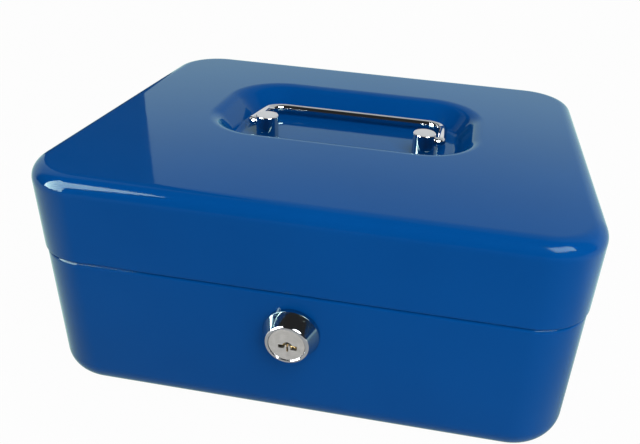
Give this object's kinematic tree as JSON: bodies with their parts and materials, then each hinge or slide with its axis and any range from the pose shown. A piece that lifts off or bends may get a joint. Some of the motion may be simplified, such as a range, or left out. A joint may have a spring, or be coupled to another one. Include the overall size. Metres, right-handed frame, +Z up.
{
  "type": "cash box",
  "caption": "Small painted steel cash box with a recessed lid, folding wire handle, front cam lock with a hook and catch, rear hinges and a lift-out coin tray.",
  "frame": {"origin": "on the ground, at the middle of the case's footprint", "axes": "+X to the right along the case, -Y to the front with the lock, +Y to the hinges, +Z up"},
  "size_m": [0.2, 0.1699, 0.09],
  "materials": {
    "paint": "gloss enamel, royal blue",
    "chrome_plate": "bright chrome plate",
    "satin_nickel": "satin nickel plate",
    "zinc_steel": "bright zinc plate",
    "brass": "plain brass",
    "tray_plastic": "fine-textured black polystyrene"
  },
  "bodies": {
    "case": {"base_shell": "paint", "hinge_base_leaf_left": "zinc_steel", "hinge_base_leaf_right": "zinc_steel", "hinge_pin_left": "zinc_steel", "hinge_pin_right": "zinc_steel", "lock_barrel": "chrome_plate", "lock_washer": "zinc_steel", "lock_nut": "zinc_steel"},
    "lid": {"lid_shell": "paint", "hinge_lid_leaf_left": "zinc_steel", "hinge_lid_leaf_right": "zinc_steel", "lid_catch": "zinc_steel", "handle_post_left": "chrome_plate", "handle_post_right": "chrome_plate", "handle_washers": "zinc_steel", "handle_screws": "zinc_steel"},
    "bail": {"handle_bail": "chrome_plate"},
    "plug": {"lock_plug": "satin_nickel", "lock_wafers": "brass", "lock_cam": "zinc_steel", "cam_washer": "zinc_steel", "cam_screw": "zinc_steel"},
    "tray": {"coin_tray": "tray_plastic"}
  },
  "joints": [
    {"name": "lid_hinge", "type": "hinge", "parent": "case", "child": "lid", "pos_m": [0, 0.0805, 0.058], "axis": [-1, 0, 0], "range_deg": [0, 105]},
    {"name": "handle_swing", "type": "hinge", "parent": "lid", "child": "bail", "pos_m": [0, 0, 0.0865], "axis": [1, 0, 0], "range_deg": [-2, 160]},
    {"name": "plug_turn", "type": "hinge", "parent": "case", "child": "plug", "pos_m": [-0.001, -0.0795, 0.0415], "axis": [0, 1, 0], "range_deg": [0, 90]},
    {"name": "tray_lift", "type": "slide", "parent": "case", "child": "tray", "axis": [0, 0, 1], "range_m": [0, 0.015]}
  ]
}
